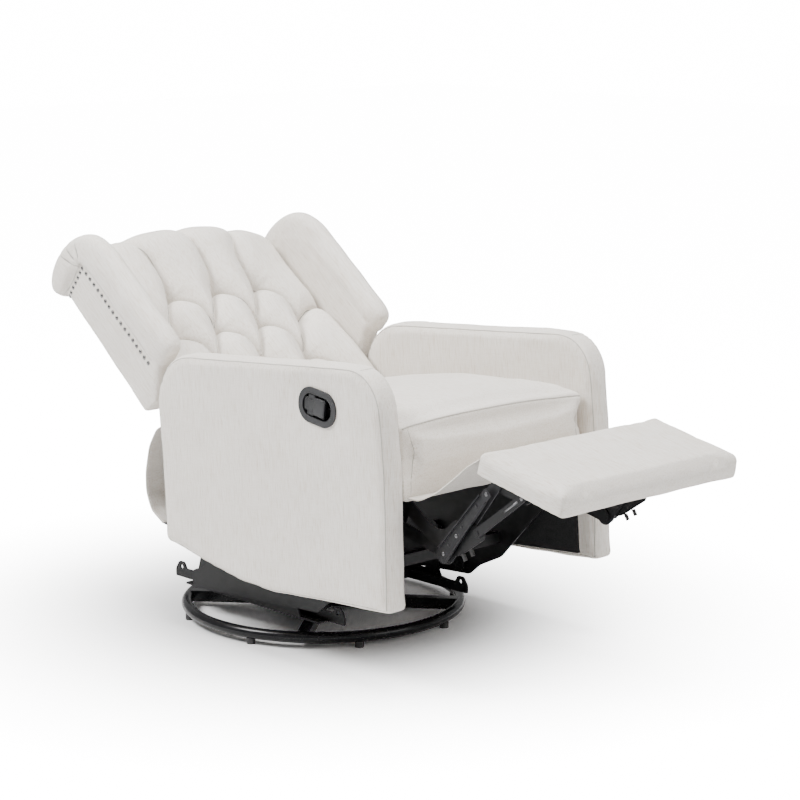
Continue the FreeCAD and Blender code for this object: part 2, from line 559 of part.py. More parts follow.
cranks = []
idlers = []
risers = []
rods = []
IDLER_HOLE = ((-IDLER_PIVOT[0], IDLER_PIVOT[1], "pin_fit"),)
RISER_HOLE = ((-CRANK_RISER[0], CRANK_RISER[1], "pin_fit"),)
ROD_HOLE = ((-CRANK_ROD[0], CRANK_ROD[1], "pin_fit"),)
IDLER = bar(flat(IDLER_PIVOT), flat(IDLER_RISER), 14.0, 14.0)
RISER = bar(flat(IDLER_RISER), flat(RISER_REST), 21.0, 11.5)
ROD = bar(flat(CRANK_ROD), flat(ROD_REST), 10.0, 8.5)
BEND = [(536, 351.7, 12), (508, 351.7, 12), (503, 334, 12), (600, 262, 60), (668, 236, 50), (752, 284, 12), (750, 303, 10)]
BEND = BEND + [(722, 311, 12), (668, 312, 12), (640, 292, 28), (610, 292, 48)]
METAL = size("link_metal")
for side_name, side in SIDES:
    idlers.append(profile("Idler" + side_name, TIPPED, layer_x(side, "idler"), METAL, IDLER, IDLER_HOLE))
    risers.append(profile("Riser" + side_name, TIPPED, layer_x(side, "riser"), METAL, RISER, RISER_HOLE))
    risers.append(pin("RiserRest" + side_name, side, "pin_radius", 230.6, 236.0, RISER_REST))
    risers.append(pin("RiserIdler" + side_name, side, "pin_radius", 234.5, 236.0, IDLER_RISER))
    cranks.append(profile("Crank" + side_name, TIPPED, layer_x(side, "crank"), METAL, level(BEND)))
    cranks.append(pin("CrankRiser" + side_name, side, "pin_radius", 234.6, 240.0, CRANK_RISER))
    cranks.append(pin("CrankRod" + side_name, side, "pin_radius", 240.0, 247.0, CRANK_ROD))
    rods.append(profile("Rod" + side_name, TIPPED, layer_x(side, "rod"), METAL, ROD, ROD_HOLE))
node(fuse("Idlers", idlers), "idler_links")
node(fuse("Risers", risers), "riser_links")
node(fuse("Rods", rods), "rod_links")
shaft = rod_x("TorqueShaft", TIPPED, "shaft_radius", -240.0, 240.0, -CRANK_PIVOT[0], CRANK_PIVOT[1])
node(fuse("Cranks", cranks + [shaft]), "crank_frame")
stops = []
for side_name, side in SIDES:
    for tag, forward, up in (("A", 690.0, 248.0), ("B", 712.0, 260.0)):
        stop = doc.addObject("Part::Cylinder", "Stop" + tag + side_name)
        stop.Radius = 4.2
        stop.Height = 14.0
        turn = Rotation(Vector(0, 0, 1), Vector(0, -0.45, -0.9))
        stop.Placement = TIPPED.multiply(Placement(Vector(side * 242.5, -forward, up), turn))
        stops.append(stop)
node(cut("CrankStops", fuse("CrankStopSet", stops), fuse("CrankCopy", cranks + [shaft])), "crank_bumpers")

brackets = []
REST = [(-22, -50), (-128, -50), (-128, -64, 10), (-116, -74, 10), (-60, -76, 20), (-36, -73, 13), (-22, -62, 8)]
for side_name, side in SIDES:
    centre = PITCHED.inverse().multVec(TIPPED.multVec(Vector(0, -RISER_REST[0], RISER_REST[1])))
    hole = ((centre.y, centre.z, "pin_fit"),)
    bracket = profile("RestBracket" + side_name, PITCHED, layer_x(side, "rest"), METAL, REST, hole)
    leaf = box("RestLeaf" + side_name, PITCHED, slab_x(side, 212.0, 20.0), -128.0, -53.0, 20.0, 106.0, 3.0)
    end = PITCHED.inverse().multVec(TIPPED.multVec(Vector(0, -ROD_REST[0], ROD_REST[1])))
    stud = rod_x("RestStud" + side_name, PITCHED, "pin_radius", side * 233.0, side * 242.7, end.y, end.z)
    brackets += [bracket, leaf, stud]
node(fuse("RestArms", brackets), "footrest_brackets")
board_low = -SIZE["pad_soft"] - SIZE["pad_board"]
board_near = -SIZE["pad_long"] + 6.0
board_wide = size("board_half") + " * 2"
made = box("RestBoard", PITCHED, -SIZE["board_half"], board_near, board_low, board_wide, size("pad_long") + " - 12", size("pad_board"))
node(made, "footrest_board")
PAD = [(0, -SIZE["pad_soft"]), (-SIZE["pad_long"], -SIZE["pad_soft"]), (-SIZE["pad_long"], 0, 16), (0, 0, 16)]
node(profile("RestPad", PITCHED, -SIZE["pad_half"], size("pad_half") + " * 2", PAD), "footrest_pad")

# ---------------------------------------------------------------- checks and export
doc.recompute()
broken = [obj.Label for obj in doc.Objects if "Invalid" in obj.State or "Error" in obj.State]
if broken:
    raise RuntimeError("did not recompute: %s" % broken)
os.makedirs("parts", exist_ok=True)
for obj in NODES:
    if not obj.Shape.isValid():
        raise RuntimeError("%s is not a valid shape" % obj.Label)
    obj.Shape.exportStep("parts/%s.step" % obj.Label)
    print(obj.Label, len(obj.Shape.Solids), round(obj.Shape.Volume / 1000.0, 1))
print("nodes", len(NODES))
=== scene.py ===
import json
import math
import bmesh
import bpy
import numpy as np
from mathutils import Matrix, Vector
from mathutils.bvhtree import BVHTree


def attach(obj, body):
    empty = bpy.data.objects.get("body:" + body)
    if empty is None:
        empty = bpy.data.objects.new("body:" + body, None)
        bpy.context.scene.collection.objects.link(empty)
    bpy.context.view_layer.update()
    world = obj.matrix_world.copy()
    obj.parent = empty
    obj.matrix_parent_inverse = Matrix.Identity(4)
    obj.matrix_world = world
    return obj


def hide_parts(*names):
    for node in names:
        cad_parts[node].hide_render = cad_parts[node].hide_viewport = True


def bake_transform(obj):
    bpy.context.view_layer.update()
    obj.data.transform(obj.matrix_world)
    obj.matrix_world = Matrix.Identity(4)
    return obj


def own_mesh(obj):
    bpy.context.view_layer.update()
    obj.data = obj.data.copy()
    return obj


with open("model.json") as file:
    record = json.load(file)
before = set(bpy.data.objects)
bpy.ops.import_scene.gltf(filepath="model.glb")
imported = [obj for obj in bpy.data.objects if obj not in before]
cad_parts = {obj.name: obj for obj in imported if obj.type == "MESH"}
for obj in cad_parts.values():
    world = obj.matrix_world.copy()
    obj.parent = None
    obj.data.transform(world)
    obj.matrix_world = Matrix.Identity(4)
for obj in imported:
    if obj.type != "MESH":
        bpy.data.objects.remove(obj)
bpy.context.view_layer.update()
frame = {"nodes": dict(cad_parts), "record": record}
NODES = frame["nodes"]
MM = 0.001

# Frames, all in millimetres: level body (x, forward, up), back (x, out of the back, up the back)
# and footrest (x, along, up). The level body is tipped back about a line TIP_HEIGHT above the floor.
TIP = math.radians(4.43)
LEAN = math.radians(47.15)
PITCH = math.radians(16.8)
TIP_HEIGHT = 223.3
BACK_PIVOT = (60.0, 400.0)
REST_ORIGIN = (768.0, 464.0)


def body(p):
    p = np.asarray(p, float).reshape(-1, 3)
    u, z = p[:, 1], p[:, 2] - TIP_HEIGHT
    y = -(u * math.cos(TIP) - z * math.sin(TIP))
    up = TIP_HEIGHT + z * math.cos(TIP) + u * math.sin(TIP)
    return np.stack([p[:, 0], y, up], 1) * MM


def back(p):
    p = np.asarray(p, float).reshape(-1, 3)
    w, s = p[:, 1], p[:, 2]
    u = BACK_PIVOT[0] - math.sin(LEAN) * s + math.cos(LEAN) * w
    z = BACK_PIVOT[1] + math.cos(LEAN) * s + math.sin(LEAN) * w
    return body(np.stack([p[:, 0], u, z], 1))


def rest(p):
    p = np.asarray(p, float).reshape(-1, 3)
    a, n = p[:, 1], p[:, 2]
    u = REST_ORIGIN[0] + math.cos(PITCH) * a + math.sin(PITCH) * n
    z = REST_ORIGIN[1] - math.sin(PITCH) * a + math.cos(PITCH) * n
    return body(np.stack([p[:, 0], u, z], 1))


# ---------------------------------------------------------------- mesh tools
def coords(obj):
    co = np.zeros(len(obj.data.vertices) * 3)
    obj.data.vertices.foreach_get("co", co)
    return co.reshape(-1, 3)


def put(obj, co):
    obj.data.vertices.foreach_set("co", np.ascontiguousarray(co, float).ravel())
    obj.data.update()


def normals(obj):
    out = np.zeros(len(obj.data.vertices) * 3)
    obj.data.vertices.foreach_get("normal", out)
    return out.reshape(-1, 3)


def make(name, verts, faces):
    mesh = bpy.data.meshes.new(name)
    mesh.from_pydata([tuple(v) for v in verts], [], faces)
    mesh.update()
    obj = bpy.data.objects.new(name, mesh)
    bpy.context.scene.collection.objects.link(obj)
    bm = bmesh.new()
    bm.from_mesh(mesh)
    bmesh.ops.recalc_face_normals(bm, faces=bm.faces)
    bm.to_mesh(mesh)
    bm.free()
    shade(obj)
    return obj


def shade(obj):
    obj.data.polygons.foreach_set("use_smooth", [True] * len(obj.data.polygons))
    obj.data.update()


def bake(obj):
    """Applies every modifier."""
    deps = bpy.context.evaluated_depsgraph_get()
    mesh = bpy.data.meshes.new_from_object(obj.evaluated_get(deps))
    obj.modifiers.clear()
    old = obj.data
    obj.data = mesh
    bpy.data.meshes.remove(old)
    shade(obj)
    return obj


def remesh(obj, voxel):
    mod = obj.modifiers.new("Remesh", "REMESH")
    mod.mode = "VOXEL"
    mod.voxel_size = voxel * MM
    mod.use_smooth_shade = True
    return bake(obj)


def soften(obj, factor, times):
    mod = obj.modifiers.new("Smooth", "SMOOTH")
    mod.factor = factor
    mod.iterations = times
    return bake(obj)


def refine(obj, levels=1):
    mod = obj.modifiers.new("Sub", "SUBSURF")
    mod.levels = levels
    mod.render_levels = levels
    return bake(obj)


def merge(name, objs):
    bm = bmesh.new()
    for o in objs:
        bm.from_mesh(o.data)
    mesh = bpy.data.meshes.new(name)
    bm.to_mesh(mesh)
    bm.free()
    for o in objs:
        bpy.data.objects.remove(o)
    obj = bpy.data.objects.new(name, mesh)
    bpy.context.scene.collection.objects.link(obj)
    shade(obj)
    return obj


def inflate(obj, cap, pressure=4.0, frames=20, hold=None):
    """Cloth under pressure: the skin swells, but no point moves further than cap millimetres.

    hold eases the swelling off by place.
    """
    start = coords(obj)
    mod = obj.modifiers.new("Cloth", "CLOTH")
    cloth = mod.settings
    cloth.use_pressure = True
    cloth.uniform_pressure_force = pressure
    cloth.effector_weights.gravity = 0.0
    cloth.quality = 4
    mod.point_cache.frame_start = 1
    mod.point_cache.frame_end = frames
    scene = bpy.context.scene
    for f in range(1, frames + 1):
        scene.frame_set(f)
    deps = bpy.context.evaluated_depsgraph_get()
    mesh = obj.evaluated_get(deps).to_mesh()
    end = np.zeros(len(mesh.vertices) * 3)
    mesh.vertices.foreach_get("co", end)
    end = end.reshape(-1, 3)
    obj.evaluated_get(deps).to_mesh_clear()
    obj.modifiers.clear()
    scene.frame_set(1)
    move = end - start
    far = np.linalg.norm(move, axis=1, keepdims=True) + 1e-12
    move *= np.minimum(1.0, cap * MM / far)
    if hold is not None:
        move *= hold(start)[:, None]
    put(obj, start + move)
    return obj


def arc_outline(corners, steps=8):
    """(a, b, radius) corners as a closed outline of points."""
    out = []
    n = len(corners)
    for i in range(n):
        p = Vector(corners[i][:2])
        r = corners[i][2] if len(corners[i]) > 2 else 0.0
        if r <= 0:
            out.append(tuple(p))
            continue
        d1 = (Vector(corners[i - 1][:2]) - p).normalized()
        d2 = (Vector(corners[(i + 1) % n][:2]) - p).normalized()
        half = d1.angle(d2) / 2
        reach = r / math.tan(half)
        mid = p + (d1 + d2).normalized() * (r / math.sin(half))
        a, b = p + d1 * reach, p + d2 * reach
        v1, v2 = a - mid, b - mid
        turn = v1.angle_signed(v2)
        for k in range(steps + 1):
            t = -turn * k / steps
            c, s = math.cos(t), math.sin(t)
            out.append((mid.x + c * v1.x - s * v1.y, mid.y + s * v1.x + c * v1.y))
    return out


def run_along(points):
    """Distance travelled at each point of a line."""
    return np.concatenate([[0], np.cumsum(np.linalg.norm(np.diff(points, axis=0), axis=1))])


def eased(line, times):
    """A line with its inner points smoothed in place."""
    for _ in range(times):
        line[1:-1] = (line[:-2] + 2 * line[1:-1] + line[2:]) / 4
    return line


def grid_faces(rows, cols):
    """Quads between the rows and columns of a grid of points."""
    return [
        (i * cols + j, i * cols + j + 1, (i + 1) * cols + j + 1, (i + 1) * cols + j)
        for i in range(rows - 1)
        for j in range(cols - 1)
    ]


def placed(name, bm, matrix):
    """A bmesh as an object of its own, moved by a matrix."""
    mesh = bpy.data.meshes.new(name)
    bm.to_mesh(mesh)
    bm.free()
    mesh.transform(matrix)
    obj = bpy.data.objects.new(name, mesh)
    bpy.context.scene.collection.objects.link(obj)
    return obj


def side_range(side, near, far):
    """Two distances from the middle as the low and high x on one side."""
    return sorted((side * near, side * far))


def spread(points, step):
    """Closed outline resampled about step apart."""
    p = np.array(points + [points[0]], float)
    run = run_along(p)
    count = max(8, int(run[-1] / step))
    t = np.linspace(0, run[-1], count, endpoint=False)
    return np.stack([np.interp(t, run, p[:, 0]), np.interp(t, run, p[:, 1])], 1)


def slab(name, place, outline, x0, x1, bevel):
    """An outline in a frame's side plane, extruded from x0 to x1, with rounded edges."""
    n = len(outline)
    pts = [(x, a, b) for x in (x0, x1) for a, b in outline]
    faces = [tuple(range(n)), tuple(range(2 * n - 1, n - 1, -1))]
    faces += [(i, (i + 1) % n, n + (i + 1) % n, n + i) for i in range(n)]
    obj = make(name, place(pts), faces)
    if bevel > 0:
        bm = bmesh.new()
        bm.from_mesh(obj.data)
        caps = sorted(bm.faces, key=lambda f: -len(f.verts))[:2]
        edges = [e for f in caps for e in f.edges]
        bmesh.ops.bevel(bm, geom=edges, offset=bevel * MM, segments=4, profile=0.6, affect="EDGES")
        bm.to_mesh(obj.data)
        bm.free()
        shade(obj)
    return obj


def tube(name, points, radius, closed=False, sides=8):
    """A thin round tube through world points."""
    pts = [Vector(p) for p in points]
    n = len(pts)
    verts, faces = [], []
    side = None
    for i, p in enumerate(pts):
        a = pts[i - 1] if (i or closed) else p
        b = pts[(i + 1) % n] if (i < n - 1 or closed) else p
        along = (b - a).normalized()
        if side is None:
            side = along.orthogonal().normalized()
        side = (side - along * side.dot(along)).normalized()
        up = along.cross(side)
        for k in range(sides):
            t = 2 * math.pi * k / sides
            verts.append(p + (side * math.cos(t) + up * math.sin(t)) * radius * MM)
    for i in range(n if closed else n - 1):
        j = (i + 1) % n
        for k in range(sides):
            m = (k + 1) % sides
            faces.append((i * sides + k, i * sides + m, j * sides + m, j * sides + k))
    if not closed:
        faces.append(tuple(range(sides)))
        faces.append(tuple(range(len(verts) - 1, len(verts) - 1 - sides, -1)))
    return make(name, verts, faces)


def spline(points, count):
    """A smooth open line of count points near the given ones."""
    p = np.array(points, float)
    run = run_along(p)
    t = np.linspace(0, run[-1], count)
    return eased(np.stack([np.interp(t, run, p[:, k]) for k in range(p.shape[1])], 1), 6)


def surface_of(obj):
    co = coords(obj)
    return BVHTree.FromPolygons([Vector(c) for c in co], [tuple(p.vertices) for p in obj.data.polygons])


def laid(bvh, points, lift):
    """World points moved onto a surface and lifted off it by lift millimetres."""
    out = []
    for p in points:
        spot, normal, _, _ = bvh.find_nearest(Vector(p))
        out.append(spot + normal * lift * MM)
    return eased(np.array([tuple(p) for p in out]), 5)


def distance_to(p, polyline):
    """Distance of points p to a polyline, and the place along it from 0 to 1."""
    best = np.full(len(p), 1e9)
    where = np.zeros(len(p))
    line = np.asarray(polyline, float)
    total = len(line) - 1
    for i in range(total):
        a, b = line[i], line[i + 1]
        d = b - a
        t = np.clip(((p - a) @ d) / max(d @ d, 1e-12), 0, 1)
        gap = np.linalg.norm(p - a - t[:, None] * d, axis=1)
        closer = gap < best
        best = np.where(closer, gap, best)
        where = np.where(closer, (i + t) / total, where)
    return best, where


def crease(obj, polyline, depth, width, fade=(0.0, 1.0)):
    """Presses a fold into the skin along world points; depth eases between the two ends."""
    co, no = coords(obj), normals(obj)
    gap, where = distance_to(co, polyline)
    strength = fade[0] + (fade[1] - fade[0]) * where if fade[0] != fade[1] else np.full(len(co), fade[0])
    push = depth * strength * np.exp(-gap / (width * MM))
    put(obj, co - no * push[:, None] * MM)


def opening(obj, at, slope, long, high):
    """Opens the skin over the handle cup, an oval on the outer face of the near arm."""
    bm = bmesh.new()
    bm.from_mesh(obj.data)
    c, s = math.cos(slope), math.sin(slope)
    gone = []
    for f in bm.faces:
        p = f.calc_center_median() / MM
        u, v = level_of(np.array([tuple(p * MM)]))
        u, v = u[0] - at[0], v[0] - at[1]
        v2, u2 = v * c + u * s, u * c - v * s
        flat = max(abs(u2) - (long - high), 0.0)
        if p.x < -318 and flat ** 2 + v2 ** 2 < high ** 2:
            gone.append(f)
    bmesh.ops.delete(bm, geom=gone, context="FACES")
    bm.to_mesh(obj.data)
    bm.free()


def level_of(co):
    """World points as millimetres forward and up on the level body."""
    y, z = co[:, 1] / MM, co[:, 2] / MM - TIP_HEIGHT
    return -(y * math.cos(TIP) - z * math.sin(TIP)), y * math.sin(TIP) + z * math.cos(TIP) + TIP_HEIGHT


def ripple(co, scale, seed):
    """Smooth noise from -1 to 1 at world points, with waves about scale metres long."""
    gen = np.random.default_rng(seed)
    total = np.zeros(len(co))
    for k in range(10):
        direction = gen.normal(size=3)
        direction /= np.linalg.norm(direction)
        total += np.sin(co @ direction * (2 * math.pi / scale) * gen.uniform(0.6, 1.5) + gen.uniform(0, 6.3))
    return total / 4.0


def rumple(obj, amount, scale, seed):
    co, no = coords(obj), normals(obj)
    put(obj, co + no * (ripple(co, scale, seed) * amount * MM)[:, None])


# ---------------------------------------------------------------- materials
class Nodes:
    def __init__(self, name):
        self.mat = bpy.data.materials.new(name)
        self.mat.use_nodes = True
        self.tree = self.mat.node_tree
        self.shader = next(n for n in self.tree.nodes if n.type == "BSDF_PRINCIPLED")
        self.at = self.new("ShaderNodeTexCoord").outputs["Object"]

    def new(self, kind, **values):
        node = self.tree.nodes.new(kind)
        for key, value in values.items():
            if key in node.inputs:
                node.inputs[key].default_value = value
            else:
                setattr(node, key, value)
        return node

    def link(self, a, b):
        self.tree.links.new(a, b)

    def turned(self, angle, scale):
        node = self.new("ShaderNodeMapping", vector_type="TEXTURE")
        node.inputs["Rotation"].default_value = (angle, 0, 0)
        self.link(self.at, node.inputs["Vector"])
        sized = self.new("ShaderNodeMapping", vector_type="POINT")
        sized.inputs["Scale"].default_value = scale
        self.link(node.outputs[0], sized.inputs["Vector"])
        return sized.outputs[0]

    def noise(self, vector, scale=1.0, detail=3.0, rough=0.5):
        node = self.new("ShaderNodeTexNoise", Scale=scale, Detail=detail, Roughness=rough)
        self.link(vector, node.inputs["Vector"])
        return node.outputs["Fac"]

    def ramp(self, value, stops):
        node = self.new("ShaderNodeValToRGB")
        parts = node.color_ramp.elements
        while len(parts) < len(stops):
            parts.new(0.5)
        for part, (at, colour) in zip(parts, stops):
            part.position = at
            part.color = (*colour, 1)
        self.link(value, node.inputs["Fac"])
        return node.outputs["Color"]

    def mix(self, kind, factor, a, b):
        node = self.new("ShaderNodeMix", data_type="RGBA", blend_type=kind)
        node.inputs["Factor"].default_value = factor
        for socket, value in ((node.inputs[6], a), (node.inputs[7], b)):
            if isinstance(value, tuple):
                socket.default_value = (*value, 1)
            else:
                self.link(value, socket)
        return node.outputs[2]

    def math(self, kind, a, b=0.0):
        node = self.new("ShaderNodeMath", operation=kind)
        for socket, value in zip(node.inputs, (a, b)):
            if isinstance(value, (int, float)):
                socket.default_value = value
            else:
                self.link(value, socket)
        return node.outputs[0]

    def bump(self, height, strength, distance, normal=None):
        node = self.new("ShaderNodeBump", Strength=strength, Distance=distance)
        self.link(height, node.inputs["Height"])
        if normal is not None:
            self.link(normal, node.inputs["Normal"])
        return node.outputs[0]

    def finish(self, **values):
        for key, value in values.items():
            socket = self.shader.inputs[key.replace("_", " ")]
            if isinstance(value, (int, float, tuple)):
                socket.default_value = value
            else:
                self.link(value, socket)
        return self.mat


def linen(name, angle, flat=False, tint=1.0):
    """Slub weave: long streaks up the piece, fine warp and weft threads.

    flat turns the streaks to run front to back.
    """
    n = Nodes(name)
    tall = (430, 30, 430) if flat else (430, 430, 26)
    wide = (24, 430, 430) if flat else (24, 24, 460)
    long_streak = n.noise(n.turned(angle, tall), 1.0, 4.0, 0.65)
    cross_streak = n.noise(n.turned(angle, wide), 1.0, 3.0, 0.6)
    cloud = n.noise(n.turned(angle, (7, 7, 7)), 1.0, 2.0, 0.5)
    slubs = [(0.30, (0.560, 0.495, 0.420)), (0.46, (0.680, 0.638, 0.582))]
    slubs += [(0.60, (0.728, 0.695, 0.648)), (0.78, (0.765, 0.742, 0.702))]
    base = n.ramp(long_streak, slubs)
    shades = [(0.34, (0.86, 0.845, 0.82)), (0.55, (1.0, 1.0, 1.0)), (0.75, (1.03, 1.03, 1.03))]
    weft = n.ramp(cross_streak, shades)
    colour = n.mix("MULTIPLY", 0.32, base, weft)
    shift = n.ramp(cloud, [(0.35, (0.965, 0.96, 0.955)), (0.65, (1.02, 1.02, 1.02))])
    colour = n.mix("MULTIPLY", 0.8, colour, shift)
    if tint != 1.0:
        colour = n.mix("MULTIPLY", 1.0, colour, (tint, tint, tint))
    threads_and_pleat_shades = []
    for axis in ((1, 0, 0), (0, 1, 0), (0, 0, 1)):
        wave = n.new("ShaderNodeTexWave", Scale=2.0, Distortion=1.2, Detail=1.0)
        wave.bands_direction = "XYZ"[axis.index(1)]
        n.link(n.turned(angle, (170, 170, 170)), wave.inputs["Vector"])
        threads_and_pleat_shades.append(wave.outputs["Fac"])
    weave = n.math("ADD", n.math("MULTIPLY", threads_and_pleat_shades[0], threads_and_pleat_shades[2]), n.math("MULTIPLY", threads_and_pleat_shades[1], 0.5))
    height = n.math("ADD", n.math("MULTIPLY", weave, 0.5), long_streak)
    height = n.math("ADD", height, n.math("MULTIPLY", cross_streak, 0.6))
    relief = n.bump(height, 0.35, 0.0008)
    sheen = {"Sheen_Weight": 0.25, "Sheen_Roughness": 0.5}
    return n.finish(Base_Color=colour, Roughness=0.92, Normal=relief, Specular_IOR_Level=0.15, **sheen)


def black_cloth(name):
    n = Nodes(name)
    fibres = n.noise(n.turned(0.0, (420, 420, 420)), 1.0, 4.0, 0.7)
    colour = n.ramp(fibres, [(0.3, (0.008, 0.008, 0.009)), (0.7, (0.026, 0.026, 0.028))])
    relief = n.bump(fibres, 0.4, 0.0006)
    return n.finish(Base_Color=colour, Roughness=0.9, Normal=relief, Sheen_Weight=0.1, Specular_IOR_Level=0.2)


def enamel(name, low, high, rough, speck=900):
    n = Nodes(name)
    grain = n.noise(n.turned(0.0, (speck, speck, speck)), 1.0, 2.0, 0.6)
    wear = n.noise(n.turned(0.0, (30, 30, 30)), 1.0, 4.0, 0.6)
    colour = n.ramp(wear, [(0.35, low), (0.7, high)])
    shine = n.ramp(wear, [(0.3, (rough * 0.8,) * 3), (0.7, (rough * 1.25,) * 3)])
    edge = n.new("ShaderNodeBevel", samples=4, Radius=0.0009)
    relief = n.bump(grain, 0.12, 0.0003, edge.outputs[0])
    return n.finish(Base_Color=colour, Roughness=shine, Normal=relief, Specular_IOR_Level=0.22)


def steel(name, colour=(0.62, 0.61, 0.6), rough=0.3):
    n = Nodes(name)
    lines = n.noise(n.turned(0.0, (60, 900, 900)), 1.0, 3.0, 0.6)
    tone = n.ramp(lines, [(0.3, tuple(c * 0.8 for c in colour)), (0.7, colour)])
    return n.finish(Base_Color=tone, Metallic=1.0, Roughness=rough, Normal=n.bump(lines, 0.08, 0.0003))


def timber(name):
    n = Nodes(name)
    grain = n.noise(n.turned(0.0, (12, 160, 160)), 1.0, 5.0, 0.6)
    colour = n.ramp(grain, [(0.3, (0.36, 0.235, 0.13)), (0.7, (0.56, 0.41, 0.26))])
    return n.finish(Base_Color=colour, Roughness=0.65, Normal=n.bump(grain, 0.2, 0.0004))


def plastic(name, low, high, rough):
    n = Nodes(name)
    grain = n.noise(n.turned(0.0, (1400, 1400, 1400)), 1.0, 2.0, 0.5)
    tone = n.noise(n.turned(0.0, (40, 40, 40)), 1.0, 3.0, 0.5)
    edge = n.new("ShaderNodeBevel", samples=4, Radius=0.0012)
    colour = n.ramp(tone, [(0.3, low), (0.7, high)])
    relief = n.bump(grain, 0.1, 0.0002, edge.outputs[0])
    return n.finish(Base_Color=colour, Roughness=rough, Normal=relief, Specular_IOR_Level=0.5)


BACK_TURN = -(LEAN + TIP)
M_BODY = linen("linen_body", -TIP)
M_SEAT = linen("linen_seat", -TIP, flat=True)
M_BACK = linen("linen_back", BACK_TURN)
M_REST = linen("linen_rest", PITCH - TIP, flat=True)
# The seam linen is the body linen darkened to 0.62: painted shade in the seam grooves and under the welt.
M_SEAM_SHADE = linen("linen_seam_shade", -TIP, tint=0.62)
M_LINING = linen("flap_lining", -TIP, flat=True, tint=0.7)
M_DUST = black_cloth("dust_cloth")
M_RING = enamel("ring_enamel", (0.004, 0.004, 0.0045), (0.008, 0.008, 0.009), 0.2)
M_FRAME = enamel("frame_enamel", (0.003, 0.003, 0.0035), (0.010, 0.010, 0.011), 0.42, 500)
M_CHANNEL = enamel("channel_enamel", (0.008, 0.008, 0.009), (0.02, 0.02, 0.022), 0.42, 500)
M_STEEL = steel("bearing_steel", (0.16, 0.16, 0.165), 0.35)
M_NAIL = steel("nail_silver", (0.22, 0.215, 0.21), 0.24)
# The fold linen is the body linen darkened to 0.42: painted shade for the creases of the tufting and the wing
# pleats.
M_FOLD_SHADE = linen("linen_fold_shade", -TIP, tint=0.42)
M_WOOD = timber("timber")
M_WEB = linen("webbing", 0.0, tint=0.45)
M_HANDLE = plastic("handle_plastic", (0.005, 0.0055, 0.006), (0.011, 0.012, 0.014), 0.45)
M_PAD = plastic("glide_plastic", (0.015, 0.015, 0.016), (0.03, 0.03, 0.03), 0.6)
M_RUBBER = plastic("bumper_rubber", (0.012, 0.012, 0.012), (0.025, 0.025, 0.025), 0.75)
BY_SLOT = {
    "ring_steel": M_RING,
    "frame_steel": M_FRAME,
    "bearing_steel": M_STEEL,
    "glide_plastic": M_PAD,
    "upholstery": M_BODY,
    "dust_cloth": M_DUST,
    "webbing": M_WEB,
    "timber": M_WOOD,
    "bumper_rubber": M_RUBBER,
    "handle_plastic": M_HANDLE,
    "nail_metal": M_NAIL,
}
for part in frame["record"]["subparts"]:
    node = NODES[part["node"]]
    node.data.materials.clear()
    node.data.materials.append(BY_SLOT[part["material_slot"]])
for name, mat in (("riser_links", M_CHANNEL), ("footrest_board", M_DUST)):
    NODES[name].data.materials.clear()
    NODES[name].data.materials.append(mat)


def dress(obj, mat, rides=None, replaces=()):
    obj.data.materials.clear()
    obj.data.materials.append(mat)
    if rides:
        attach(obj, rides)
    if replaces:
        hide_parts(*replaces)
    return obj


# ---------------------------------------------------------------- arms
HANDLE_AT = (387.0, 534.0)
HANDLE_SLOPE = math.radians(12)
HANDLE_CUP = (49.0, 30.0)
ARM = [(565, 126, 5), (205, 126, 60), (110, 137, 60), (-20, 167, 60), (-147, 204, 10)]
ARM += [(-147, 622, 118), (572, 623, 92), (579, 400, 200)]


def shrunk(outline, gap):
    """The outline moved inward by gap."""
    p = spread(arc_outline(outline, 14), 6.0)
    top = p[:, 1] > 400
    for _ in range(16):
        mean = (np.roll(p, 1, 0) + 2 * p + np.roll(p, -1, 0)) / 4
        p = np.where(top[:, None], mean, p)
    nxt, prev = np.roll(p, -1, 0), np.roll(p, 1, 0)
    along = nxt - prev
    along /= np.linalg.norm(along, axis=1, keepdims=True)
    inward = np.stack([along[:, 1], -along[:, 0]], 1)
    centre = p.mean(0)
    if ((centre - p) * inward).sum() < 0:
        inward = -inward
    return p + inward * gap


